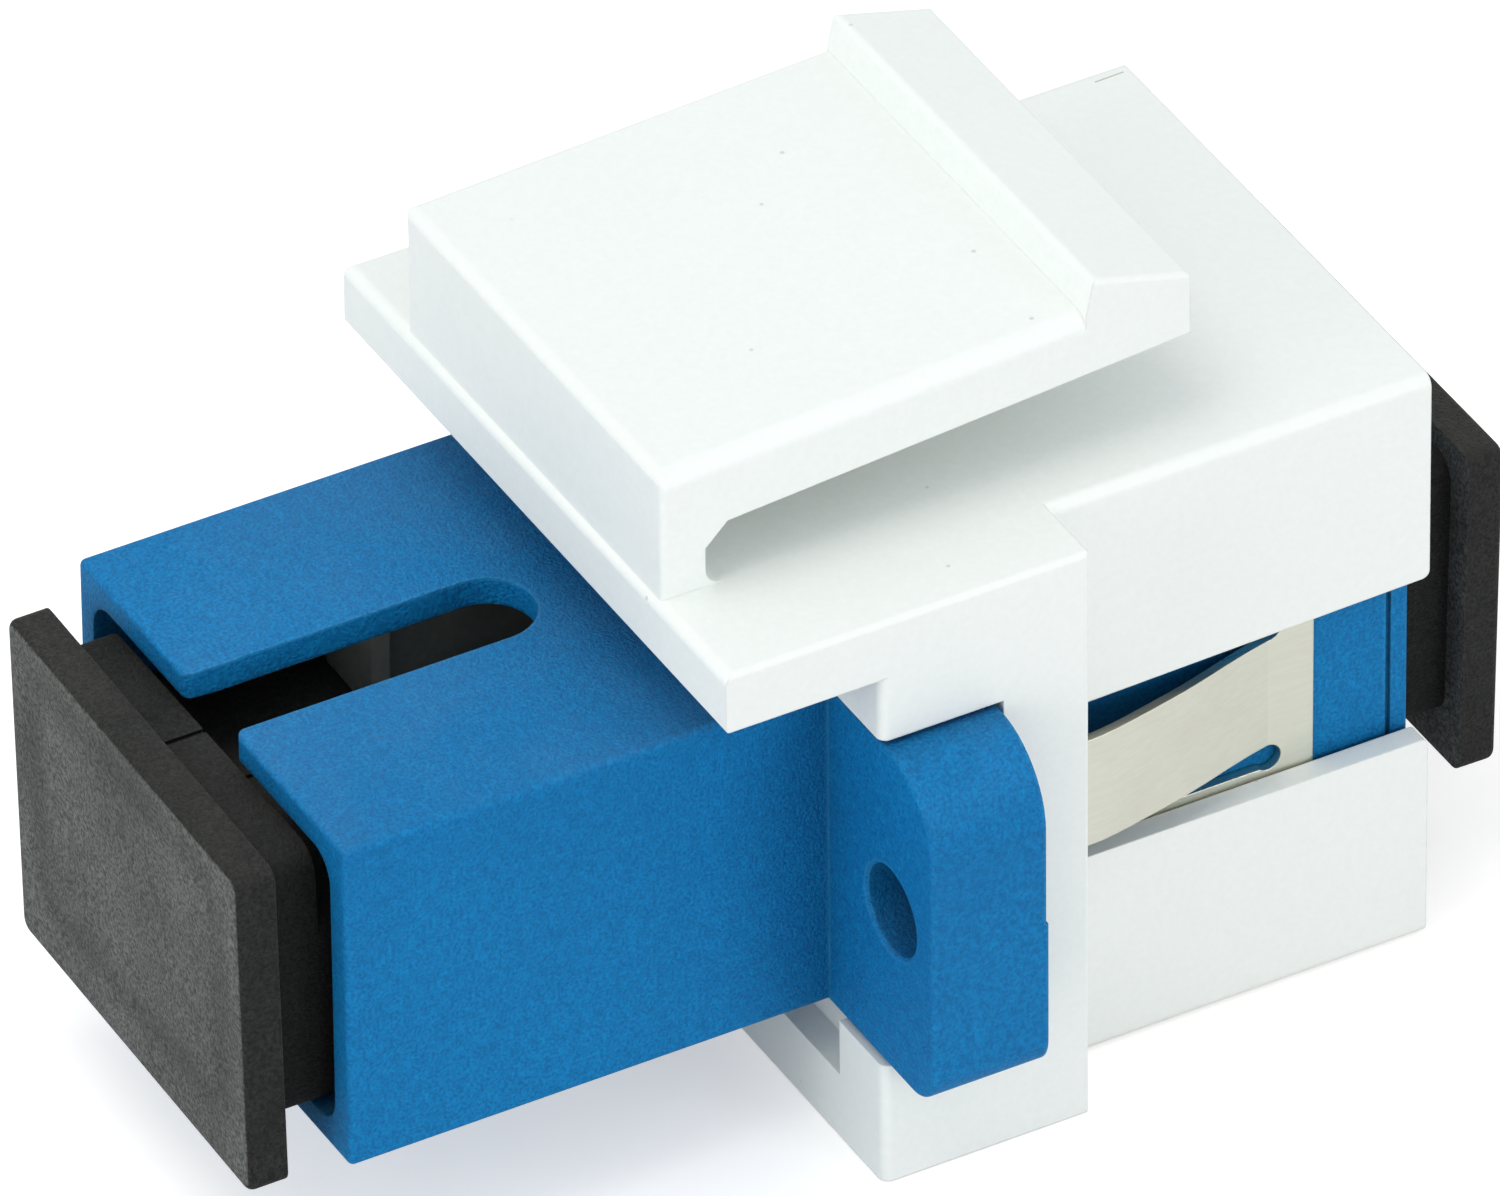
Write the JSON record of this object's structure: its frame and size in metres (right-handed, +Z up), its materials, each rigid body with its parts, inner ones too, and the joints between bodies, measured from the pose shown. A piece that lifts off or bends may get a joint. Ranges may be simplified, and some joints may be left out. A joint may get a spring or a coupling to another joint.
{
  "type": "sc fibre adapter in keystone carrier",
  "caption": "Simplex fibre adapter with flange ears and spring clip, snapped into a keystone carrier with a latch lever, a dust cap in each port.",
  "frame": {"origin": "middle of the alignment sleeve, where two ferrules meet, on the fibre's axis", "axes": "+Y along the fibre from the rear (cable) port to the front (user) port, +Z up towards the keyways and the latch lever, +X completes the frame"},
  "size_m": [0.023, 0.034, 0.0214],
  "materials": {
    "carrier_white": "smooth satin moulding, cool white",
    "housing_blue": "fine moulded grain, mid blue",
    "clip_steel": "fine rolled satin, slightly warm",
    "insert_ivory": "smooth moulding",
    "sleeve_zirconia": "polished ceramic",
    "cap_black": "fine spark-eroded texture, charcoal"
  },
  "bodies": {
    "adapter": {"keystone_carrier": "carrier_white", "adapter_housing": "housing_blue", "retaining_clip": "clip_steel", "front_latch_insert": "insert_ivory", "rear_latch_insert": "insert_ivory", "alignment_sleeve": "sleeve_zirconia"},
    "front_cap": {"front_dust_cap": "cap_black"},
    "rear_cap": {"rear_dust_cap": "cap_black"}
  },
  "joints": [
    {"name": "front_cap_pull", "type": "slide", "parent": "adapter", "child": "front_cap", "axis": [0, 1, 0], "range_m": [0, 0.02]},
    {"name": "rear_cap_pull", "type": "slide", "parent": "adapter", "child": "rear_cap", "axis": [0, -1, 0], "range_m": [0, 0.02]}
  ]
}
